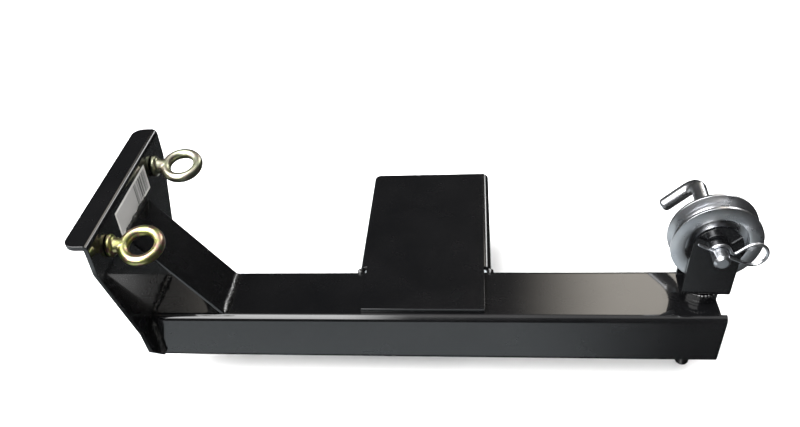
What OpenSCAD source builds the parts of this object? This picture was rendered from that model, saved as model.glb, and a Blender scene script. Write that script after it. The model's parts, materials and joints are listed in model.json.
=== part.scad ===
// Carrier beam of a weight distribution hitch: a welded steel beam with an end plate,
// lifting eyes, a saddle channel and a swivelling rope sheave. Millimetres, +Z up.
// X runs along the beam towards the sheave, Y across it towards the saddle's open end.
// The origin lies on the saddle's flat seat, above the beam's centre line.

/* [Beam] */
// Length of the tube
beam_len = 596; // [500:1:800]
// Width of the tube across Y
beam_w = 80; // [70:1:100]
// Height of the tube
beam_h = 60; // [50:1:80]
// Wall of the tube
beam_wall = 4; // [3:0.5:5]
// Outer radius of the tube's long corners
beam_corner_r = 7; // [6:0.5:9]
// How far the top wall is cut back at the sheave end
notch_depth = 5.5; // [2:0.5:10]

/* [End plate] */
// Thickness of the end plate
plate_t = 5; // [4:0.5:8]
// Height of the end plate above the beam's underside
plate_h = 205; // [180:1:240]
// Half of the plate's width at the top
plate_half_w = 109; // [95:1:130]
// How far the folded top flange reaches from the plate's inner face
flange_reach = 25.5; // [18:0.5:40]
// Inner radius of the fold
fold_inner_r = 0.8; // [0.5:0.1:6]

/* [Brace] */
// Width of the brace
brace_w = 69; // [50:1:78]
// Thickness of the brace
brace_t = 4; // [3:0.5:8]
// Height of the brace's top edge above the beam's underside
brace_top = 165; // [130:1:180]
// Distance from the end plate to the brace's foot
brace_foot = 81.5; // [60:0.5:120]

/* [Saddle channel] */
// Distance from the end plate to the middle of the saddle
saddle_from_plate = 294; // [200:1:360]
// Width of the saddle channel
saddle_w = 145; // [100:1:180]
// Thickness of the saddle's steel
saddle_t = 5; // [4:0.5:6]
// Inner radius of the saddle's bends
saddle_inner_r = 3; // [1:0.5:8]
// Y of the saddle's far end
saddle_back = 231.5; // [120:0.5:300]
// How far the saddle's tongue reaches past the beam's centre line
tongue_reach = 31.5; // [20:0.5:38]

/* [Swivel yoke] */
// Angle at which the yoke stands
yoke_turn = -2; // [-180:1:180]
// Distance from the beam's end to the swivel axis
swivel_inset = 20; // [18:0.5:40]
// Diameter of the swivel stud
stud_d = 14; // [12:1:16]
// How far the stud reaches below the beam
stud_drop = 38; // [34:1:50]
// Clear gap between the fork's cheeks
fork_gap = 28; // [28:1:34]
// Thickness of the fork's steel
fork_t = 4; // [4:0.5:6]
// Width of the fork's cheeks
fork_w = 46; // [36:1:50]
// Height of the sheave's axis above the seat
axis_z = 65.3; // [60:0.1:80]

/* [Sheave] */
// Outer diameter of the sheave
sheave_d = 83.5; // [70:0.5:90]
// Width of the sheave's rim
sheave_w = 26; // [20:1:26]
// Radius of the recess in each face
recess_r = 28.5; // [22:0.5:30]

/* [Hitch pin and clip] */
// Diameter of the bent pin
pin_d = 15; // [12:1:16]
// How far the pin's front end stands from the sheave's middle
pin_front = 42; // [36:1:60]
// Distance from the sheave's middle to the pin's bent arm
pin_back = 97; // [60:1:100]
// Length of the bent arm from the pin's axis
arm_len = 42; // [24:1:60]
// Angle of the bent arm below the horizontal
arm_drop = 44; // [0:1:60]
// Diameter of the clip's wire
wire_d = 3.4; // [2.5:0.1:4]
// Distance of the clip from the sheave's middle
clip_y = 25.5; // [24:0.5:34]
// Angle of the clip below the horizontal
clip_drop = 25; // [0:1:60]

/* [Lifting eyes] */
// Distance of each eye bolt from the beam's centre line
eye_y = 72.5; // [50:0.5:90]
// Height of the eye bolts above the beam's underside
eye_h = 179.5; // [150:0.5:185]
// Outer diameter of the ring
eye_outer = 46; // [40:1:54]
// Diameter of the ring's rod
eye_rod = 10.5; // [8:0.5:12]
// Distance from the plate to the ring's middle
eye_reach = 33; // [30:0.5:40]
// Diameter of the threaded shank
eye_shank = 10; // [8:1:12]
// Angle at which the front ring stands out of the horizontal
front_roll = 17; // [-90:1:90]
// Angle at which the rear ring stands out of the horizontal
rear_roll = 15; // [-90:1:90]

/* [Label] */
// Length of the blank label
label_len = 92; // [60:1:120]
// Height of the blank label
label_h = 28; // [20:1:40]

/* [Hidden] */
$fn = 96;

// Gap between faces of bodies that move past each other
gap = 0.3;
// Radial clearance of a running fit, and of a loose washer
fit = 0.05;
loose = 0.3;
// A little extra length for cutting tools
over = 1;

beam_top = -saddle_t;
beam_bottom = beam_top - beam_h;
plate_x = -saddle_from_plate;
beam_end = plate_x + beam_len;
swivel_x = beam_end - swivel_inset;
eye_z = beam_bottom + eye_h;
saddle_r = saddle_inner_r + saddle_t;

// End plate outline: half width at a height above the beam's underside
shoulder_h = 172;
hip_h = 57;
hip_half_w = 67;
knee_h = 27;
knee_half_w = 62;
foot_half_w = 38;
flange_corner_r = 12;

// Stack of the swivel joint, from the beam's top upwards
washer_t = 3;
washer_r = 17;
boss_h = 7;
boss_r = 17;
boss_z = beam_top + washer_t + gap;
fork_z = boss_z + boss_h;
fork_bend_r = 7;
cheek_r = fork_w / 2;
cheek_out = fork_gap / 2 + fork_t;

// Stack of the swivel joint, from the beam's underside downwards
sleeve_r = 13;
sleeve_proud = 4;
bottom_washer_t = 2.5;
bottom_washer_r = 15;
nut_af = 22;
nut_h = 11;
insert_h = 3;
insert_r = 9.2;
bottom_washer_z = beam_bottom - sleeve_proud - gap - bottom_washer_t;
nut_z = bottom_washer_z - nut_h;

// Sheave and its bearing
rim_r = sheave_d / 2;
groove_r = 7;
groove_root = 29;
flange_edge = 3.5;
web_half = 5;
hub_half = sheave_w / 2 - 0.5;
crown_r = 33;
crown_drop = 0.8;
hub_r = 17;
bush_r = 12.5;
axle_r = 10;
side_washer_t = 0.8;
side_washer_r = 16;

// Hitch pin
pin_r = pin_d / 2;
pin_bend_r = 12;
pin_chamfer = 2.4;
arm_round = 4;
clip_hole_r = wire_d / 2 + loose;

// Clip: straight leg, loop, waist and the hump over the pin
clip_tail = 23.5;
loop_r = 12;
loop_u = 28.2;
waist_r = 4;
waist_low = 5;
hump_r = pin_r + wire_d / 2 + loose;
hump_end = 168;
wire_sides = 12;
arc_step = 12;

// Eye bolts
ring_r = (eye_outer - eye_rod) / 2;
collar_r = 11;
collar_h = 5;
neck_r = 7.5;
eye_washer_t = 2;
eye_washer_r = 10;
spring_washer_t = 2.2;
spring_washer_r = 8.6;
eye_nut_af = 17;
eye_nut_h = 8;
shank_past_nut = 3;

label_t = 0.3;
label_y = 4.5;
label_z = beam_bottom + 180.5;

// ---- Shared shapes ----

// Rectangle with round corners, its lower left corner at the origin
module round_rect(w, h, r) {
    translate([r, 0]) square([w - 2 * r, h]);
    translate([0, r]) square([w, h - 2 * r]);
    for (x = [r, w - r], y = [r, h - r]) translate([x, y]) circle(r);
}

// Turns a drawing in Y and Z into a bar along +X
module along_x(length) {
    rotate([90, 0, 90]) linear_extrude(length) children();
}

// Ring around the Z axis
module ring(outer_r, inner_r, h) {
    difference() {
        cylinder(r = outer_r, h = h);
        translate([0, 0, -over]) cylinder(r = inner_r, h = h + 2 * over);
    }
}

// Hexagon nut around the Z axis with its corners turned down at both ends
module hex_nut(af, h, bore_r) {
    corner_r = af / 2 / cos(30);
    turn = corner_r - af / 2;
    difference() {
        intersection() {
            cylinder(r = corner_r, h = h, $fn = 6);
            rotate_extrude()
                polygon([
                    [0, 0], [af / 2, 0], [corner_r, turn / 2], [corner_r, h - turn / 2],
                    [af / 2, h], [0, h]
                ]);
        }
        translate([0, 0, -over]) cylinder(r = bore_r, h = h + 2 * over);
    }
}

// Places what rides on the yoke: the sheave's axis along Y, its middle at the origin
module on_yoke() {
    translate([swivel_x, 0, axis_z]) rotate([0, 0, yoke_turn]) children();
}

// Places what lies on the swivel axis
module on_swivel(z) {
    translate([swivel_x, 0, z]) rotate([0, 0, yoke_turn]) children();
}

// Points a Z-built piece along the sheave's axis, its middle at the origin
module on_axle() {
    on_yoke() rotate([-90, 0, 0]) children();
}

// Places an eye bolt piece built along Z: side is -1 for the front and 1 for the rear
module on_eye(side, x, roll) {
    translate([plate_x + x, side * eye_y, eye_z]) rotate([roll, 0, 0]) rotate([0, 90, 0]) children();
}

// ---- Welded frame ----

module main_beam() {
    color("#1d1e20")
    difference() {
        translate([plate_x, -beam_w / 2, beam_bottom]) along_x(beam_len) difference() {
            round_rect(beam_w, beam_h, beam_corner_r);
            translate([beam_wall, beam_wall])
                round_rect(beam_w - 2 * beam_wall, beam_h - 2 * beam_wall, beam_corner_r - beam_wall);
        }
        translate([beam_end - notch_depth, -beam_w / 2 + beam_corner_r, beam_top - beam_wall - over])
            cube([notch_depth + over, beam_w - 2 * beam_corner_r, beam_wall + 2 * over]);
        translate([swivel_x, 0, beam_bottom - over]) cylinder(r = sleeve_r, h = beam_h + 2 * over);
    }
}

// Half outline of the end plate, from its foot to its top
function plate_side() = [
    [foot_half_w, 0], [knee_half_w, knee_h], [hip_half_w, hip_h], [plate_half_w, shoulder_h],
    [plate_half_w, plate_h]
];

// Section of the plate and its folded flange in X and Z, from the foot upwards
module plate_section() {
    fold_r = fold_inner_r + plate_t;
    translate([-plate_t, 0]) square([plate_t, plate_h - fold_r]);
    translate([-flange_reach, plate_h - plate_t]) square([flange_reach - fold_r, plate_t]);
    translate([-fold_r, plate_h - fold_r]) intersection() {
        difference() {
            circle(fold_r);
            circle(fold_inner_r);
        }
        square(fold_r);
    }
}

module end_plate() {
    side = plate_side();
    outline = concat(side, [for (i = [len(side) - 1:-1:0]) [-side[i][0], side[i][1]]]);
    color("#1d1e20")
    translate([plate_x, 0, beam_bottom]) difference() {
        intersection() {
            rotate([90, 0, 0]) translate([0, 0, -plate_half_w])
                linear_extrude(2 * plate_half_w) plate_section();
            translate([-flange_reach - over, 0, 0]) along_x(flange_reach + 2 * over) polygon(outline);
            translate([0, -plate_half_w, -over]) linear_extrude(plate_h + 2 * over) union() {
                translate([-flange_reach, flange_corner_r])
                    square([flange_reach + over, 2 * (plate_half_w - flange_corner_r)]);
                translate([-flange_reach + flange_corner_r, 0])
                    square([flange_reach - flange_corner_r + over, 2 * plate_half_w]);
                for (y = [flange_corner_r, 2 * plate_half_w - flange_corner_r])
                    translate([-flange_reach + flange_corner_r, y]) circle(flange_corner_r);
            }
        }
        for (side = [-1, 1])
            translate([-plate_t - over, side * eye_y, eye_h]) rotate([0, 90, 0])
                cylinder(r = eye_shank / 2 + fit, h = plate_t + 2 * over);
    }
}

module brace_plate() {
    rise = brace_top - beam_h;
    slope = atan2(rise, brace_foot);
    foot_cut = brace_t / sin(slope);
    head_cut = brace_t / cos(slope);
    color("#1d1e20")
    translate([plate_x, brace_w / 2, beam_top]) rotate([90, 0, 0]) linear_extrude(brace_w)
        polygon([[0, rise], [brace_foot, 0], [brace_foot - foot_cut, 0], [0, rise - head_cut]]);
}

module saddle_channel() {
    depth = beam_h + saddle_t;
    flat_w = saddle_w - 2 * saddle_r;
    color("#1d1e20") {
        translate([-saddle_w / 2, saddle_back, -depth]) rotate([90, 0, 0])
            linear_extrude(saddle_back - beam_w / 2) difference() {
                union() {
                    translate([saddle_r, 0]) square([flat_w, depth]);
                    square([saddle_w, depth - saddle_r]);
                    for (x = [saddle_r, saddle_w - saddle_r]) translate([x, depth - saddle_r]) circle(saddle_r);
                }
                translate([saddle_t, -over]) square([saddle_w - 2 * saddle_t, depth - saddle_r + over]);
                translate([saddle_r, -over]) square([flat_w, depth - saddle_t + over]);
                for (x = [saddle_r, saddle_w - saddle_r])
                    translate([x, depth - saddle_r]) circle(saddle_inner_r);
            }
        translate([-flat_w / 2, -tongue_reach, -saddle_t])
            cube([flat_w, tongue_reach + beam_w / 2, saddle_t]);
    }
}

module swivel_sleeve() {
    color("#3a3b3d")
    translate([swivel_x, 0, beam_bottom - sleeve_proud])
        ring(sleeve_r - fit, stud_d / 2 + fit, beam_h + sleeve_proud);
}

module blank_label() {
    color("#dcdcd6")
    translate([plate_x, label_y - label_len / 2, label_z - label_h / 2])
        cube([label_t, label_len, label_h]);
}

// ---- Swivel yoke ----

module thrust_washer() {
    color("#b9bcc0")
    translate([swivel_x, 0, beam_top]) ring(washer_r, stud_d / 2 + loose, washer_t);
}

module yoke_fork() {
    rise = axis_z - fork_z;
    color("#1d1e20")
    on_yoke() difference() {
        intersection() {
            translate([-fork_w / 2, -cheek_out, -rise]) along_x(fork_w) difference() {
                union() {
                    translate([fork_bend_r, 0]) square([2 * (cheek_out - fork_bend_r), fork_t]);
                    translate([0, fork_bend_r]) square([2 * cheek_out, rise + cheek_r - fork_bend_r]);
                    for (y = [fork_bend_r, 2 * cheek_out - fork_bend_r])
                        translate([y, fork_bend_r]) circle(fork_bend_r);
                }
                translate([fork_t, fork_bend_r]) square([fork_gap, rise + cheek_r]);
                translate([fork_bend_r, fork_t]) square([2 * (cheek_out - fork_bend_r), rise]);
                for (y = [fork_bend_r, 2 * cheek_out - fork_bend_r])
                    translate([y, fork_bend_r]) circle(fork_bend_r - fork_t);
            }
            rotate([90, 0, 0]) translate([0, 0, -cheek_out - over])
                linear_extrude(2 * (cheek_out + over)) union() {
                    circle(cheek_r);
                    translate([-cheek_r, -rise - over]) square([2 * cheek_r, rise + over]);
                }
        }
        rotate([-90, 0, 0]) translate([0, 0, -cheek_out - over])
            cylinder(r = pin_r + fit, h = 2 * (cheek_out + over));
        translate([0, 0, -rise - over]) cylinder(r = stud_d / 2 + fit, h = fork_t + 2 * over);
    }
}

module yoke_boss() {
    color("#1d1e20")
    on_swivel(boss_z) ring(boss_r, stud_d / 2 + fit, boss_h);
}

module swivel_stud() {
    top = fork_z + fork_t;
    bottom = beam_bottom - stud_drop;
    dome = 2.5;
    color("#2a2b2c")
    on_swivel(0) rotate_extrude()
        polygon([
            [0, bottom], [stud_d / 2 - dome, bottom], [stud_d / 2, bottom + dome], [stud_d / 2, top], [0, top]
        ]);
}

module bottom_washer() {
    color("#b9bcc0")
    on_swivel(bottom_washer_z) ring(bottom_washer_r, stud_d / 2 + loose, bottom_washer_t);
}

module lock_nut() {
    color("#b9bcc0") {
        on_swivel(nut_z) hex_nut(nut_af, nut_h, stud_d / 2 + fit);
        on_swivel(nut_z - insert_h) ring(insert_r + 1, insert_r, insert_h);
    }
}

module nut_insert() {
    color("#2f5fa8")
    on_swivel(nut_z - insert_h) ring(insert_r - fit, stud_d / 2 + fit, insert_h);
}

// ---- Sheave ----

// Half the sheave's width at a radius: each face is crowned, and highest at crown_r
function face_half(r) = sheave_w / 2 - crown_drop * pow((r - crown_r) / (rim_r - crown_r), 2);

// Half section of the sheave: radius along X, width along Y
module sheave_section() {
    half = sheave_w / 2;
    crown = [for (i = [0:8]) let(r = recess_r + (rim_r - recess_r) * i / 8) [r, face_half(r)]];
    difference() {
        polygon(concat(
            [[bush_r, -half], [recess_r, -half]],
            [for (p = crown) [p[0], -p[1]]],
            [for (i = [8:-1:0]) crown[i]],
            [[recess_r, half], [bush_r, half]]
        ));
        for (side = [-1, 1]) {
            translate([hub_r, side > 0 ? web_half : -half - over])
                square([recess_r - hub_r, half - web_half + over]);
            translate([bush_r - over, side > 0 ? hub_half : -half - over])
                square([hub_r - bush_r + 2 * over, half - hub_half + over]);
        }
        translate([groove_root + groove_r, 0]) circle(groove_r);
        polygon([
            [groove_root + groove_r, -groove_r], [rim_r + over, -half + flange_edge],
            [rim_r + over, half - flange_edge], [groove_root + groove_r, groove_r]
        ]);
    }
}

module sheave() {
    color("#c9ccd0")
    on_axle() rotate_extrude($fn = 180) sheave_section();
}

module sheave_bush() {
    color("#a8884a")
    on_axle() translate([0, 0, -hub_half]) ring(bush_r - 0.02, axle_r + fit, 2 * hub_half);
}

module axle_sleeve() {
    color("#9da1a6")
    on_axle() translate([0, 0, gap - fork_gap / 2]) ring(axle_r, pin_r + fit, fork_gap - 2 * gap);
}

module side_washers() {
    inner = hub_half + gap;
    color("#b9bcc0")
    on_axle() for (z = [inner, -inner - side_washer_t])
        translate([0, 0, z]) ring(side_washer_r, axle_r + 2 * fit, side_washer_t);
}

// ---- Hitch pin and clip ----

module hitch_pin() {
    straight = pin_back - pin_bend_r;
    arm_run = arm_len - pin_bend_r;
    color("#c3c7cb")
    on_yoke() rotate([0, 180 - arm_drop, 0]) difference() {
        union() {
            translate([0, -pin_front, 0]) rotate([-90, 0, 0]) rotate_extrude()
                polygon([
                    [0, 0], [pin_r - pin_chamfer, 0], [pin_r, pin_chamfer],
                    [pin_r, pin_front + straight], [0, pin_front + straight]
                ]);
            translate([pin_bend_r, straight, 0]) rotate([0, 0, 90])
                rotate_extrude(angle = 90) translate([pin_bend_r, 0]) circle(pin_r);
            translate([pin_bend_r, pin_back, 0]) rotate([0, 90, 0]) rotate_extrude()
                polygon(concat(
                    [[0, 0], [pin_r, 0]],
                    [for (a = [0:15:90]) at([pin_r - arm_round, arm_run - arm_round], arm_round, a)],
                    [[0, arm_run]]
                ));
        }
        translate([0, -clip_y, 0]) rotate([0, clip_drop + arm_drop - 90, 0])
            cylinder(r = clip_hole_r, h = 2 * pin_d, center = true, $fn = 48);
    }
}

// Point on a circle, and points along an arc of one
function at(c, r, a) = c + r * [cos(a), sin(a)];
function arc(c, r, from, to) =
    let(n = ceil(abs(to - from) / arc_step))
    [for (i = [0:n]) at(c, r, from + (to - from) * i / n)];

// Middle line of the clip's wire: u along the straight leg, v across it, the pin at the origin
function clip_path() =
    let(
        loop_c = [loop_u, loop_r],
        waist_v = waist_low + waist_r,
        waist_c = [sqrt(pow(hump_r + waist_r, 2) - waist_v * waist_v), waist_v],
        across = loop_c - waist_c,
        tangent = atan2(across[1], across[0]) - acos((loop_r + waist_r) / norm(across)),
        lean = atan2(waist_v, waist_c[0])
    )
    concat(
        [[-clip_tail, 0], [0, 0]],
        arc(loop_c, loop_r, -90, 180 + tangent),
        arc(waist_c, waist_r, tangent, lean - 180),
        [for (i = [1:len(arc([0, 0], hump_r, lean, hump_end)) - 1]) arc([0, 0], hump_r, lean, hump_end)[i]]
    );

// Unit normal of the path at point i
function path_normal(p, i) =
    let(
        step = p[min(i + 1, len(p) - 1)] - p[max(i - 1, 0)],
        along = step / norm(step)
    )
    [-along[1], along[0]];

module r_clip() {
    path = clip_path();
    rings = len(path);
    points = [
        for (i = [0:rings - 1], k = [0:wire_sides - 1])
            let(a = 360 * k / wire_sides, n = path_normal(path, i) * wire_d / 2 * cos(a))
            [path[i][0] + n[0], wire_d / 2 * sin(a), path[i][1] + n[1]]
    ];
    walls = [
        for (i = [0:rings - 2], k = [0:wire_sides - 1])
            let(a = i * wire_sides + k, b = i * wire_sides + (k + 1) % wire_sides)
            [a, b, b + wire_sides, a + wire_sides]
    ];
    ends = [
        [for (k = [wire_sides - 1:-1:0]) k],
        [for (k = [0:wire_sides - 1]) (rings - 1) * wire_sides + k]
    ];
    color("#b4b8bc")
    on_yoke() translate([0, -clip_y, 0]) rotate([0, clip_drop, 0])
        polyhedron(points, concat(walls, ends), convexity = 6);
}

// ---- Lifting eyes ----

module eye_bolt(side, roll) {
    shank_len = gap + plate_t + gap + eye_washer_t + spring_washer_t + eye_nut_h + shank_past_nut;
    color("#c9b45a")
    on_eye(side, gap, roll) {
        rotate_extrude()
            polygon([
                [0, -shank_len], [eye_shank / 2 - 1, -shank_len], [eye_shank / 2, 1 - shank_len],
                [eye_shank / 2, 0], [collar_r, 0], [collar_r, collar_h - 1], [collar_r - 1, collar_h],
                [neck_r + 1, collar_h + 1], [neck_r, collar_h + 4],
                [neck_r - 2, eye_reach - ring_r], [0, eye_reach - ring_r]
            ]);
        translate([0, 0, eye_reach - gap]) rotate([0, 90, 90])
            rotate_extrude() translate([ring_r, 0]) circle(eye_rod / 2, $fn = 48);
    }
}

// Washers and nut on the plate's outer side; each one's x is its outer face
module eye_washer(side) {
    color("#c9b45a")
    on_eye(side, -plate_t - gap - eye_washer_t, 0) ring(eye_washer_r, eye_shank / 2 + loose, eye_washer_t);
}

module eye_spring_washer(side) {
    split = 1.2;
    color("#c9b45a")
    on_eye(side, -plate_t - gap - eye_washer_t - spring_washer_t, 0) difference() {
        ring(spring_washer_r, eye_shank / 2 + loose, spring_washer_t);
        translate([0, -split / 2, -over]) cube([spring_washer_r + over, split, spring_washer_t + 2 * over]);
    }
}

module eye_nut(side) {
    color("#c9b45a")
    on_eye(side, -plate_t - gap - eye_washer_t - spring_washer_t - eye_nut_h, 0)
        hex_nut(eye_nut_af, eye_nut_h, eye_shank / 2 + fit);
}

main_beam();
end_plate();
brace_plate();
saddle_channel();
swivel_sleeve();
blank_label();
thrust_washer();
yoke_fork();
yoke_boss();
swivel_stud();
bottom_washer();
lock_nut();
nut_insert();
sheave();
sheave_bush();
axle_sleeve();
side_washers();
hitch_pin();
r_clip();
eye_bolt(-1, front_roll);  // eye_bolt_front
eye_washer(-1);  // eye_washer_front
eye_spring_washer(-1);  // eye_spring_washer_front
eye_nut(-1);  // eye_nut_front
eye_bolt(1, rear_roll);  // eye_bolt_rear
eye_washer(1);  // eye_washer_rear
eye_spring_washer(1);  // eye_spring_washer_rear
eye_nut(1);  // eye_nut_rear
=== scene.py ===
import json
import math
import random

import bmesh
import bpy
from mathutils import Matrix, Vector, noise


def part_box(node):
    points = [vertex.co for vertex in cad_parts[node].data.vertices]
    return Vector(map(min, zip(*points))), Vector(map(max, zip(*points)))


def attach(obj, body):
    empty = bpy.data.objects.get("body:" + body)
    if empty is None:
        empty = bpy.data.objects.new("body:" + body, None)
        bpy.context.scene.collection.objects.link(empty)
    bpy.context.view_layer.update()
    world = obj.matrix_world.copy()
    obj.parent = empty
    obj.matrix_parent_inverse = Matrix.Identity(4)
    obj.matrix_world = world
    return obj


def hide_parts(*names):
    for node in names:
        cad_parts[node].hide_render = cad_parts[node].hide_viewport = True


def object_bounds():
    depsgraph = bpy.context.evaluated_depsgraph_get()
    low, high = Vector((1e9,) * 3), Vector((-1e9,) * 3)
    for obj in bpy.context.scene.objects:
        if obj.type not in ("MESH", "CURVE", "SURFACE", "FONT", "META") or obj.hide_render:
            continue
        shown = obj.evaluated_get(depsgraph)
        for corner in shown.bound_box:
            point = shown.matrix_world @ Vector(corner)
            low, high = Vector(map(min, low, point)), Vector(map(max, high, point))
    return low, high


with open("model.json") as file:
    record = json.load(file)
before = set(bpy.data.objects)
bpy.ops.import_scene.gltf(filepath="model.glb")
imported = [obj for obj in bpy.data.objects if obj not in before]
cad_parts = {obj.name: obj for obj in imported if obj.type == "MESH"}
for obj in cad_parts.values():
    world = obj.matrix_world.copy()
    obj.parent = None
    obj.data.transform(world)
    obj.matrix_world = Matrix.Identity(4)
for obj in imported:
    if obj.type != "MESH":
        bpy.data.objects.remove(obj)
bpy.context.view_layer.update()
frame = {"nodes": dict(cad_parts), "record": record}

MM = 0.001
UP = Vector((0, 0, 1))

# ---- Places read from the frame ----

BEAM_LO, BEAM_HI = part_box("main_beam")
PLATE_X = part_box("end_plate")[1][0]
BRACE_LO, BRACE_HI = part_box("brace_plate")
SADDLE_LO, SADDLE_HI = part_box("saddle_channel")
BOSS_LO, BOSS_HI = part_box("yoke_boss")
SLEEVE_LO, SLEEVE_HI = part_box("swivel_sleeve")
STUD_LO, STUD_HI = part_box("swivel_stud")
LABEL_LO, LABEL_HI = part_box("blank_label")
SWIVEL_X = (BOSS_LO[0] + BOSS_HI[0]) / 2

# Rounding of the tube's long edges, and the distance below which two vertices are one
BEAM_CORNER = 7 * MM
JOIN = 0.02 * MM

# Camera: where it stands, where it points and how it is framed
CAMERA_AT = Vector((42.6, -651.7, 539.0)) * MM
CAMERA_PAN = math.radians(10.67)
CAMERA_TILT = math.radians(42.36)
CAMERA_ROLL = math.radians(6.79)
CAMERA_LENS = 35.42
CAMERA_SHIFT = (0.0568, 0.1508)


# ---- Node helpers ----

class Nodes:
    """A material's node tree, with short ways to add and join nodes."""

    def __init__(self, name):
        self.material = bpy.data.materials.new(name)
        self.material.use_nodes = True
        self.tree = self.material.node_tree
        self.shader = self.tree.nodes["Principled BSDF"]
        coords = self.tree.nodes.new("ShaderNodeTexCoord")
        self.place = coords.outputs["Object"]

    def add(self, kind, **values):
        made = self.tree.nodes.new(kind)
        for key, value in values.items():
            setattr(made, key, value)
        return made

    def link(self, source, target):
        self.tree.links.new(source, target)

    def axes(self):
        """The object coordinate's X, Y and Z."""
        parts = self.add("ShaderNodeSeparateXYZ")
        self.link(self.place, parts.inputs["Vector"])
        return parts.outputs

    def noise(self, scale, detail, roughness=0.5):
        made = self.add("ShaderNodeTexNoise")
        made.inputs["Scale"].default_value = scale
        made.inputs["Detail"].default_value = detail
        made.inputs["Roughness"].default_value = roughness
        self.link(self.place, made.inputs["Vector"])
        return made.outputs["Fac"]

    def ramp(self, value, stops):
        """Colours by value: stops are (position, grey or colour)."""
        made = self.add("ShaderNodeValToRGB")
        elements = made.color_ramp.elements
        while len(elements) < len(stops):
            elements.new(0.5)
        for element, (position, colour) in zip(elements, stops):
            element.position = position
            if isinstance(colour, (int, float)):
                colour = (colour, colour, colour)
            element.color = (*colour, 1.0)
        self.link(value, made.inputs["Fac"])
        return made.outputs["Color"]

    def colour(self, source):
        self.link(source, self.shader.inputs["Base Color"])

    def rough(self, value, low, high):
        """Roughness from low to high as the value goes from 0 to 1."""
        made = self.add("ShaderNodeMapRange")
        made.inputs["To Min"].default_value = low
        made.inputs["To Max"].default_value = high
        self.link(value, made.inputs["Value"])
        self.link(made.outputs["Result"], self.shader.inputs["Roughness"])

    def math(self, operation, a, b=0.0):
        """One operation on a and b, which are sockets or numbers."""
        made = self.add("ShaderNodeMath", operation=operation)
        for socket, value in zip(made.inputs, (a, b)):
            if isinstance(value, (int, float)):
                socket.default_value = value
            else:
                self.link(value, socket)
        return made.outputs["Value"]

    def within(self, value, low, high):
        """1 where the value lies between low and high, else 0."""
        above = self.math("GREATER_THAN", value, low)
        below = self.math("LESS_THAN", value, high)
        return self.math("MULTIPLY", above, below)

    def blend(self, factor, below, above):
        """The colour below where factor is 0, and a fixed colour above where it is 1."""
        made = self.add("ShaderNodeMixRGB")
        made.inputs["Color2"].default_value = (*above, 1.0)
        self.link(factor, made.inputs["Fac"])
        self.link(below, made.inputs["Color1"])
        return made.outputs["Color"]

    def bump(self, *layers):
        """Bumps one on top of the other: each layer is (height, strength, distance)."""
        normal = None
        for height, strength, distance in layers:
            made = self.add("ShaderNodeBump")
            made.inputs["Strength"].default_value = strength
            made.inputs["Distance"].default_value = distance
            self.link(height, made.inputs["Height"])
            if normal:
                self.link(normal, made.inputs["Normal"])
            normal = made.outputs["Normal"]
        self.link(normal, self.shader.inputs["Normal"])

    def set(self, **values):
        """Fixed values on the shader's own sockets."""
        for key, value in values.items():
            self.shader.inputs[key.replace("_", " ")].default_value = value


# ---- Materials ----

def powder_coat():
    """Gloss black powder coat: a little orange peel, hazy in places."""
    m = Nodes("powder_coat")
    m.colour(m.ramp(m.noise(14.0, 4.0), [(0.3, (0.0018, 0.0019, 0.0022)), (0.75, (0.0036, 0.0036, 0.0039))]))
    m.rough(m.noise(40.0, 5.0), 0.20, 0.32)
    m.bump((m.noise(55.0, 1.0), 0.07, 0.6 * MM), (m.noise(170.0, 1.0), 0.04, 0.2 * MM))
    m.set(Specular_IOR_Level=0.12, Coat_Weight=1.0, Coat_Roughness=0.05)
    return m.material


def bead_coat():
    """Powder coat over a weld bead: the rough bead underneath makes it glint."""
    m = Nodes("bead_coat")
    m.colour(m.ramp(m.noise(300.0, 2.0), [(0.4, 0.002), (0.7, 0.012)]))
    m.rough(m.noise(200.0, 2.0), 0.12, 0.26)
    m.bump((m.noise(350.0, 2.0), 0.9, 1.2 * MM))
    m.set(Coat_Weight=1.0, Coat_Roughness=0.08)
    return m.material


def zinc():
    """Zinc plate over turned steel: cloudy and satin, faintly pitted."""
    m = Nodes("zinc")
    m.colour(m.ramp(m.noise(60.0, 4.0), [
        (0.3, (0.46, 0.47, 0.50)), (0.5, (0.54, 0.55, 0.57)), (0.75, (0.60, 0.60, 0.60)),
    ]))
    m.rough(m.noise(90.0, 4.0), 0.22, 0.36)
    m.bump((m.noise(120.0, 2.0), 0.05, 0.4 * MM), (m.noise(600.0, 2.0), 0.06, 0.06 * MM))
    m.set(Metallic=1.0)
    return m.material


def yellow_zinc():
    """Yellow chromated zinc: gold that drifts to pink and green, greyer on the rear eye bolt."""
    m = Nodes("yellow_zinc")
    gold = m.ramp(m.noise(95.0, 2.0, roughness=0.6), [
        (0.32, (0.28, 0.35, 0.14)), (0.43, (0.42, 0.44, 0.16)), (0.53, (0.50, 0.46, 0.24)),
        (0.60, (0.50, 0.29, 0.25)), (0.68, (0.34, 0.39, 0.22)),
    ])
    rear = m.math("GREATER_THAN", m.axes()["Y"], 0.0)
    m.colour(m.blend(m.math("MULTIPLY", rear, 0.65), gold, (0.44, 0.45, 0.38)))
    m.rough(m.noise(160.0, 4.0), 0.26, 0.40)
    m.bump((m.noise(220.0, 3.0), 0.12, 0.3 * MM))
    m.set(Metallic=1.0)
    return m.material


def bronze():
    """Sintered bronze of the sheave's bush."""
    m = Nodes("bronze")
    m.colour(m.ramp(m.noise(300.0, 4.0), [(0.3, (0.32, 0.2, 0.09)), (0.7, (0.52, 0.35, 0.17))]))
    m.rough(m.noise(500.0, 2.0), 0.38, 0.55)
    m.bump((m.noise(900.0, 2.0), 0.2, 0.1 * MM))
    m.set(Metallic=1.0)
    return m.material


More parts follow.
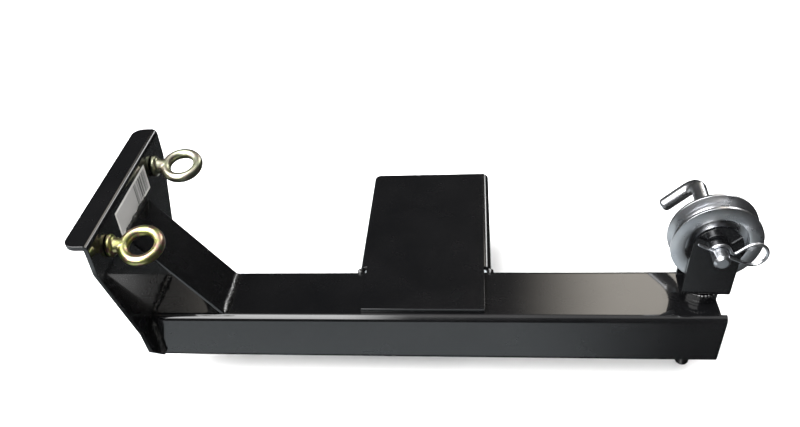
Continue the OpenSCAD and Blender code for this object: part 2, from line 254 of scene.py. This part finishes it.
def nylon():
    """Blue nylon of the lock nut's insert."""
    m = Nodes("nylon")
    m.colour(m.ramp(m.noise(200.0, 2.0), [(0.3, (0.02, 0.07, 0.26)), (0.7, (0.035, 0.1, 0.34))]))
    m.rough(m.noise(300.0, 2.0), 0.4, 0.55)
    m.bump((m.noise(800.0, 2.0), 0.1, 0.1 * MM))
    return m.material


def label_paper():
    """Blank foil label, faintly creased, with a pale border and a block of bars that stand for nothing."""
    m = Nodes("label_paper")
    border = 2.2 * MM
    bar_step = 0.9 * MM
    bars_from, bars_to, bars_edge = 38 * MM, 5 * MM, 3 * MM
    y, z = m.axes()["Y"], m.axes()["Z"]
    inner = m.math("MULTIPLY", m.within(y, LABEL_LO[1] + border, LABEL_HI[1] - border),
                   m.within(z, LABEL_LO[2] + border, LABEL_HI[2] - border))
    block = m.math("MULTIPLY", m.within(y, LABEL_HI[1] - bars_from, LABEL_HI[1] - bars_to),
                   m.within(z, LABEL_LO[2] + bars_edge, LABEL_HI[2] - bars_edge))
    dice = m.add("ShaderNodeTexWhiteNoise", noise_dimensions="1D")
    m.link(m.math("FLOOR", m.math("DIVIDE", y, bar_step)), dice.inputs["W"])
    bars = m.math("MULTIPLY", block, m.math("GREATER_THAN", dice.outputs["Value"], 0.45))
    paper = m.ramp(m.noise(30.0, 4.0), [(0.3, (0.40, 0.39, 0.37)), (0.7, (0.50, 0.49, 0.47))])
    paper = m.blend(inner, paper, (0.29, 0.285, 0.275))
    m.colour(m.blend(bars, paper, (0.03, 0.03, 0.03)))
    m.rough(m.noise(80.0, 3.0), 0.35, 0.5)
    m.bump((m.noise(45.0, 3.0), 0.25, 0.6 * MM))
    return m.material


def floor_paper():
    """White studio paper."""
    m = Nodes("floor_paper")
    m.colour(m.ramp(m.noise(2.0, 2.0), [(0.3, 0.86), (0.7, 0.88)]))
    m.set(Roughness=0.9)
    return m.material


MATERIALS = {
    "powder_coat": powder_coat(),
    "zinc": zinc(),
    "yellow_zinc": yellow_zinc(),
    "bronze": bronze(),
    "nylon": nylon(),
    "label": label_paper(),
}
BEAD_COAT = bead_coat()


def dress(obj, slot, material=None):
    """Gives a piece the material of its slot, unless another material is named."""
    obj.data.materials.clear()
    obj.data.materials.append(material or MATERIALS[slot])


# ---- Mesh helpers ----

def piece(name, bm, body, slot, material=None):
    """Turns a bmesh into a named piece that rides on a body."""
    mesh = bpy.data.meshes.new(name)
    bmesh.ops.recalc_face_normals(bm, faces=bm.faces)
    bm.to_mesh(mesh)
    bm.free()
    mesh.shade_smooth()
    obj = bpy.data.objects.new(name, mesh)
    bpy.context.scene.collection.objects.link(obj)
    dress(obj, slot, material)
    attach(obj, body)
    return obj


def turns(count):
    """Angles that share out a full turn."""
    return [math.tau * k / count for k in range(count)]


def level_ring(bm, radius, z, sides):
    """Ring of vertices around the Z axis."""
    return [bm.verts.new((radius * math.cos(t), radius * math.sin(t), z)) for t in turns(sides)]


def skin(bm, rings, closed=False):
    """Joins equal rings of vertices into a tube."""
    pairs = list(zip(rings, rings[1:]))
    if closed:
        pairs.append((rings[-1], rings[0]))
    for a, b in pairs:
        for k in range(len(a)):
            n = (k + 1) % len(a)
            bm.faces.new((a[k], a[n], b[n], b[k]))
    if not closed:
        bm.faces.new(rings[0])
        bm.faces.new(rings[-1])


def join(obj):
    """Makes one vertex of those that a CAD node has in the same place."""
    weld = obj.modifiers.new("join", "WELD")
    weld.merge_threshold = JOIN


def soften(obj, width):
    """Rounds the sharp edges of a CAD node, once the splits in its flat faces are gone."""
    join(obj)
    merge = obj.modifiers.new("flats", "DECIMATE")
    merge.decimate_type = "DISSOLVE"
    merge.angle_limit = math.radians(0.4)
    bevel = obj.modifiers.new("round", "BEVEL")
    bevel.width = width
    bevel.segments = 2
    bevel.limit_method = "ANGLE"
    bevel.angle_limit = math.radians(32)
    obj.modifiers.new("shade", "WEIGHTED_NORMAL")


# ---- Weld beads ----

BEAD_SIDES = 20
BEAD_STEP = 0.35 * MM
RIPPLE = 2.6 * MM

# Radius in the dips between a bead's lumps and at its ends, as shares of its full radius
DIP = 0.68
END = 0.35

# Noise that shapes a bead: turns per metre and strength
WANDER = (60, 0.3)
LUMPS = (110, 0.35)
JITTER = (180, 0.4)
SPATTER = (420, 0.3)


def stray(kind, at, drift):
    """Noise at a point, of a kind's scale and strength."""
    scale, strength = kind
    return strength * noise.noise(at * scale + drift)


def bead_points(path, closed):
    """Points one step apart along a path."""
    points = []
    for a, b in zip(path, path[1:]):
        steps = max(1, round((b - a).length / BEAD_STEP))
        points += [a.lerp(b, i / steps) for i in range(steps)]
    if not closed:
        points.append(path[-1])
    return points


def bead(name, path, radius, body, seed, closed=False):
    """A weld bead along a path of points: a row of overlapping lumps."""
    rng = random.Random(seed)
    drift = Vector([rng.uniform(-50, 50) for _ in range(3)])
    points = bead_points(path, closed)
    bm = bmesh.new()
    rings = []
    last = len(points) - 1
    for i, point in enumerate(points):
        ahead = points[(i + 1) % len(points)] if closed or i < last else point
        behind = points[i - 1] if closed or i > 0 else point
        along = (ahead - behind).normalized()
        upright = abs(along.z) > 0.9
        side = along.orthogonal().normalized() if upright else along.cross(UP).normalized()
        rise = side.cross(along).normalized()
        phase = i * BEAD_STEP / RIPPLE + stray(JITTER, point, drift)
        lump = DIP + (1 - DIP) * abs(math.sin(math.pi * phase)) + stray(LUMPS, point, drift)
        fade = 1.0 if closed else min(1.0, END + min(i, last - i) * BEAD_STEP / radius)
        r = radius * lump * fade
        centre = point + (side + rise) * radius * stray(WANDER, point, -drift)
        ring = []
        for t in turns(BEAD_SIDES):
            out = math.cos(t) * side + math.sin(t) * rise
            spatter = 1 + stray(SPATTER, centre + r * out, drift)
            ring.append(bm.verts.new(centre + r * spatter * out))
        rings.append(ring)
    skin(bm, rings, closed)
    piece(name, bm, body, "powder_coat", BEAD_COAT)


def circle_path(centre, radius, count=90):
    """Points round a level circle, back to the first."""
    return [
        centre + radius * Vector((math.cos(t), math.sin(t), 0))
        for t in (math.tau * k / count for k in range(count + 1))
    ]


def across(x, half, z):
    """A path across the beam, from its front to its rear."""
    return [Vector((x, -half, z)), Vector((x, half, z))]


def frame_welds():
    """Beads of the welded frame."""
    plate_x = BEAM_LO[0]
    top = BEAM_HI[2]
    side_y = BEAM_HI[1]
    brace_y = (BRACE_HI[1] - BRACE_LO[1]) / 2 - 1.5 * MM
    bead("weld_brace_foot", across(BRACE_HI[0], brace_y, top), 4.2 * MM, "frame", 1)
    bead("weld_brace_head", across(plate_x, brace_y, BRACE_HI[2]), 4.6 * MM, "frame", 2)
    bead("weld_plate_top", across(plate_x, side_y - BEAM_CORNER, top), 4.4 * MM, "frame", 3)
    for label, y in (("front", -side_y), ("rear", side_y)):
        low = Vector((plate_x, y, BEAM_LO[2] + BEAM_CORNER))
        high = Vector((plate_x, y, top - BEAM_CORNER))
        bead("weld_plate_" + label, [low, high], 5.0 * MM, "frame", 4 + (y > 0))
    bend = 9 * MM
    for label, x in (("left", SADDLE_LO[0]), ("right", SADDLE_HI[0])):
        low = Vector((x, side_y, SADDLE_LO[2] + 2 * MM))
        high = Vector((x, side_y, -bend))
        bead("weld_saddle_" + label, [low, high], 2.4 * MM, "frame", 6 + (x > 0))
        # A knot of weld where the saddle's side meets the tube's top
        knot = [Vector((x * 0.99, side_y - 7 * MM, top)), Vector((x * 0.99, side_y + 1 * MM, top))]
        bead("weld_knot_" + label, knot, 3.2 * MM, "frame", 8 + (x > 0))
    foot = Vector((SWIVEL_X, 0, BEAM_LO[2]))
    sleeve_r = (SLEEVE_HI[0] - SLEEVE_LO[0]) / 2
    bead("weld_sleeve", circle_path(foot, sleeve_r + 1 * MM), 1.8 * MM, "frame", 10, closed=True)


def yoke_welds():
    """Ring of weld between the boss and the fork."""
    inset = 0.4 * MM
    centre = Vector((SWIVEL_X, 0, BOSS_HI[2] - inset))
    boss_r = (BOSS_HI[0] - BOSS_LO[0]) / 2
    bead("weld_boss", circle_path(centre, boss_r - inset), 2.0 * MM, "yoke", 11, closed=True)


# ---- Threaded rods ----

# Pitch and depth of each thread
STUD_THREAD = (2.0 * MM, 1.1 * MM)
EYE_THREAD = (1.5 * MM, 0.8 * MM)


def threaded_rod(bm, radius, thread, low, high, dome, sides=48):
    """Rings of a thread about Z, from low, where it is domed, to high."""
    pitch, depth = thread
    step = pitch / 10
    rings = []
    for i in range(round((high - low) / step) + 1):
        z = low + i * step
        cap = 1.0
        if z - low < dome:
            cap = math.sqrt(max(0.02, 1 - (1 - (z - low) / dome) ** 2)) * 0.45 + 0.55
        ring = []
        for k, t in enumerate(turns(sides)):
            wave = (z / pitch - k / sides) % 1.0
            cut = depth * (1 - abs(2 * wave - 1))
            r = (radius - cut) * cap
            ring.append(bm.verts.new((r * math.cos(t), r * math.sin(t), z)))
        rings.append(ring)
    return rings


def swivel_stud():
    """Stud: plain where it turns, threaded below the beam."""
    radius = (STUD_HI[0] - STUD_LO[0]) / 2
    nut_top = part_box("lock_nut")[1][2]
    bm = bmesh.new()
    rings = threaded_rod(bm, radius, STUD_THREAD, STUD_LO[2], nut_top, 2.5 * MM)
    for z in (nut_top + 0.5 * MM, STUD_HI[2]):
        rings.append(level_ring(bm, radius, z, len(rings[0])))
    skin(bm, rings)
    bmesh.ops.translate(bm, verts=bm.verts, vec=(SWIVEL_X, 0, 0))
    stud = piece("stud_threaded", bm, "yoke", "powder_coat")
    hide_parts("swivel_stud")


# ---- Lifting eyes ----

EYE_OUTER = 46 * MM
EYE_ROD = 10.5 * MM
EYE_SHANK = 10 * MM
EYE_ROLLS = {"front": math.radians(17), "rear": math.radians(15)}

# Outline of the collar and the neck: distance from the plate and radius, in millimetres
EYE_NECK = [
    (0.4, 10.4), (0.9, 11.0), (1.6, 11.2), (4.0, 11.2), (4.9, 10.7), (5.4, 9.2), (6.6, 8.2), (9.0, 7.7),
    (11.5, 7.1), (14.0, 6.4), (16.0, 5.6),
]


def eye_place(end):
    """Stands a bolt built along Z on the end plate."""
    lo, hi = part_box("eye_nut_" + end)
    spot = Matrix.Translation((PLATE_X, (lo[1] + hi[1]) / 2, (lo[2] + hi[2]) / 2))
    return spot @ Matrix.Rotation(EYE_ROLLS[end], 4, "X") @ Matrix.Rotation(math.radians(90), 4, "Y")


def eye_ring(bm, reach):
    """The ring, which thickens a little where it meets the neck."""
    centre = Vector((0, 0, reach))
    ring_r = (EYE_OUTER - EYE_ROD) / 2
    rings = []
    for a in turns(96):
        rod = EYE_ROD / 2 * (1 + 0.06 * max(0.0, -math.cos(a)) ** 6)
        out = Vector((0, math.sin(a), math.cos(a)))
        rings.append([
            bm.verts.new(centre + out * (ring_r + rod * math.cos(t)) + Vector((rod * math.sin(t), 0, 0)))
            for t in turns(32)
        ])
    skin(bm, rings, closed=True)


def lifting_eye(end):
    """Forged eye bolt: ring, neck and collar flow into each other; the shank is threaded."""
    lo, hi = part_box("eye_bolt_" + end)
    place = eye_place(end)
    bm = bmesh.new()
    eye_ring(bm, hi[0] - EYE_OUTER / 2 - PLATE_X)
    skin(bm, [level_ring(bm, r * MM, z * MM, 64) for z, r in EYE_NECK])
    bmesh.ops.transform(bm, matrix=place, verts=bm.verts)
    eye = piece("lifting_eye_" + end, bm, "frame", "yellow_zinc")
    forge = eye.modifiers.new("forge", "REMESH")
    forge.mode = "VOXEL"
    forge.voxel_size = 0.55 * MM
    forge.use_smooth_shade = True
    flow = eye.modifiers.new("flow", "SMOOTH")
    flow.factor = 0.5
    flow.iterations = 3
    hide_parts("eye_bolt_" + end)

    bm = bmesh.new()
    skin(bm, threaded_rod(bm, EYE_SHANK / 2, EYE_THREAD, lo[0] - PLATE_X, 1.0 * MM, 1.0 * MM))
    bmesh.ops.transform(bm, matrix=place, verts=bm.verts)
    piece("eye_shank_" + end, bm, "frame", "yellow_zinc")


# ---- CAD nodes that show as they are ----

# How far each node's sharp edges are rounded, in millimetres
SOFT_EDGES = {
    "main_beam": 0.5, "end_plate": 0.8, "brace_plate": 0.8, "saddle_channel": 0.7, "yoke_fork": 0.8,
    "yoke_boss": 0.5, "thrust_washer": 0.3, "bottom_washer": 0.3, "lock_nut": 0.25, "hitch_pin": 0.3,
    "sheave": 0.3, "side_washers": 0.15, "blank_label": 0.08,
}
for kind in ("eye_washer", "eye_spring_washer", "eye_nut"):
    for end in EYE_ROLLS:
        SOFT_EDGES[kind + "_" + end] = 0.25


def dress_cad():
    """Materials and rounded edges for every CAD node that stays in view."""
    slots = {row["node"]: row["material_slot"] for row in frame["record"]["subparts"]}
    for name, obj in frame["nodes"].items():
        dress(obj, slots[name])
        if name in SOFT_EDGES:
            soften(obj, SOFT_EDGES[name] * MM)
    clip = frame["nodes"]["r_clip"]
    join(clip)
    rounder = clip.modifiers.new("round", "SUBSURF")
    rounder.levels = 2
    rounder.render_levels = 2


# ---- Stage ----

def add_camera():
    """A camera at the photograph's viewpoint."""
    level = Vector((math.cos(CAMERA_PAN), math.sin(CAMERA_PAN), 0))
    ahead = UP.cross(level)
    forward = math.cos(CAMERA_TILT) * ahead - math.sin(CAMERA_TILT) * UP
    down = forward.cross(level)
    right = math.cos(CAMERA_ROLL) * level + math.sin(CAMERA_ROLL) * down
    down = -math.sin(CAMERA_ROLL) * level + math.cos(CAMERA_ROLL) * down
    data = bpy.data.cameras.new("camera")
    data.sensor_width = 36
    data.lens = CAMERA_LENS
    data.shift_x, data.shift_y = CAMERA_SHIFT
    camera = bpy.data.objects.new("camera", data)
    turn = Matrix((right, -down, -forward)).transposed()
    camera.matrix_world = Matrix.Translation(CAMERA_AT) @ turn.to_4x4()
    bpy.context.scene.collection.objects.link(camera)
    bpy.context.scene.camera = camera


def add_sun(name, direction, strength, spread):
    """Wide, even light that doesn't show in gloss."""
    data = bpy.data.lights.new(name, "SUN")
    data.energy = strength
    data.angle = math.radians(spread)
    light = bpy.data.objects.new(name, data)
    light.matrix_world = Vector(direction).to_track_quat("-Z", "Y").to_matrix().to_4x4()
    light.visible_glossy = False
    bpy.context.scene.collection.objects.link(light)


class Sky:
    """World made of soft-edged bright fields on a dim room."""

    def __init__(self, dim):
        world = bpy.data.worlds.new("studio")
        world.use_nodes = True
        self.tree = world.node_tree
        coords = self.tree.nodes.new("ShaderNodeTexCoord")
        parts = self.tree.nodes.new("ShaderNodeSeparateXYZ")
        self.tree.links.new(coords.outputs["Generated"], parts.inputs["Vector"])
        self.axes = dict(zip("xyz", parts.outputs))
        dim_room = self.tree.nodes.new("ShaderNodeRGB")
        dim_room.outputs[0].default_value = (dim, dim, dim, 1.0)
        self.total = dim_room.outputs[0]
        bpy.context.scene.world = world

    def times(self, a, b):
        """The product of two sockets."""
        made = self.tree.nodes.new("ShaderNodeMath")
        made.operation = "MULTIPLY"
        for socket, value in zip(made.inputs, (a, b)):
            self.tree.links.new(value, socket)
        return made.outputs["Value"]

    def fade(self, axis, start, end, low=0.0, high=1.0):
        """Goes from low to high as the direction's part along axis goes from start to end."""
        made = self.tree.nodes.new("ShaderNodeMapRange")
        made.interpolation_type = "SMOOTHSTEP"
        for key, value in (("From Min", start), ("From Max", end), ("To Min", low), ("To Max", high)):
            made.inputs[key].default_value = value
        self.tree.links.new(self.axes[axis], made.inputs["Value"])
        return made.outputs["Result"]

    def field(self, strength, tint, *fades):
        """A bright field of one tint, bounded by its fades."""
        shape = fades[0]
        for fade in fades[1:]:
            shape = self.times(shape, fade)
        lit = self.tree.nodes.new("ShaderNodeVectorMath")
        lit.operation = "SCALE"
        lit.inputs[0].default_value = [strength * part for part in tint]
        self.tree.links.new(shape, lit.inputs["Scale"])
        added = self.tree.nodes.new("ShaderNodeVectorMath")
        added.operation = "ADD"
        self.tree.links.new(lit.outputs["Vector"], added.inputs[0])
        self.tree.links.new(self.total, added.inputs[1])
        self.total = added.outputs["Vector"]

    def hang(self):
        """Puts the finished sum in the world's background."""
        self.tree.links.new(self.total, self.tree.nodes["Background"].inputs["Color"])


WHITE = (1.0, 1.0, 1.0)
COOL = (0.88, 0.96, 1.0)
WARM = (1.0, 0.93, 0.83)


def add_world():
    """Dim room: pale paper below, a window in front on the left, and lamps behind."""
    sky = Sky(0.03)
    # Paper, seen in the upright faces; it ends to the right
    sky.field(0.8, COOL, sky.fade("z", -0.28, -0.5), sky.fade("z", -0.9, -0.76),
              sky.fade("x", 0.28, 0.06, 0.03, 1.25))
    # Window, seen in the beam's upper front corner
    sky.field(10.0, WHITE, sky.fade("z", 0.3, 0.5), sky.fade("x", -0.06, -0.16), sky.fade("y", 0.3, 0.0))
    # Lamp, seen as the patch on the beam's top
    sky.field(4.2, WARM, sky.fade("x", 0.05, 0.2), sky.fade("x", 0.36, 0.28), sky.fade("z", 0.55, 0.6),
              sky.fade("z", 0.8, 0.72), sky.fade("y", 0.0, 0.2))
    # Lamp on the right, seen in the saddle's bend
    sky.field(8.0, WHITE, sky.fade("x", 0.38, 0.42), sky.fade("x", 0.54, 0.48), sky.fade("z", 0.2, 0.32),
              sky.fade("y", 0.4, 0.6))
    # Ceiling
    sky.field(1.0, WHITE, sky.fade("z", 0.78, 0.95))
    sky.hang()


def add_floor():
    """Plain pale floor just below the lowest piece."""
    half = 8.0
    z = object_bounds()[0][2] - 0.5 * MM
    bm = bmesh.new()
    corners = ((-half, -half), (half, -half), (half, half), (-half, half))
    bm.faces.new([bm.verts.new((x, y, z)) for x, y in corners])
    mesh = bpy.data.meshes.new("floor")
    bm.to_mesh(mesh)
    bm.free()
    mesh.materials.append(floor_paper())
    floor = bpy.data.objects.new("floor", mesh)
    # The object's gloss shows the room of add_world in place of this paper
    floor.visible_glossy = False
    bpy.context.scene.collection.objects.link(floor)


dress_cad()
frame_welds()
yoke_welds()
swivel_stud()
for end in EYE_ROLLS:
    lifting_eye(end)

add_camera()
add_world()
add_floor()
add_sun("overhead", (0.15, 0.25, -1.0), 3.3, 120)
bpy.context.scene.view_settings.view_transform = "Standard"
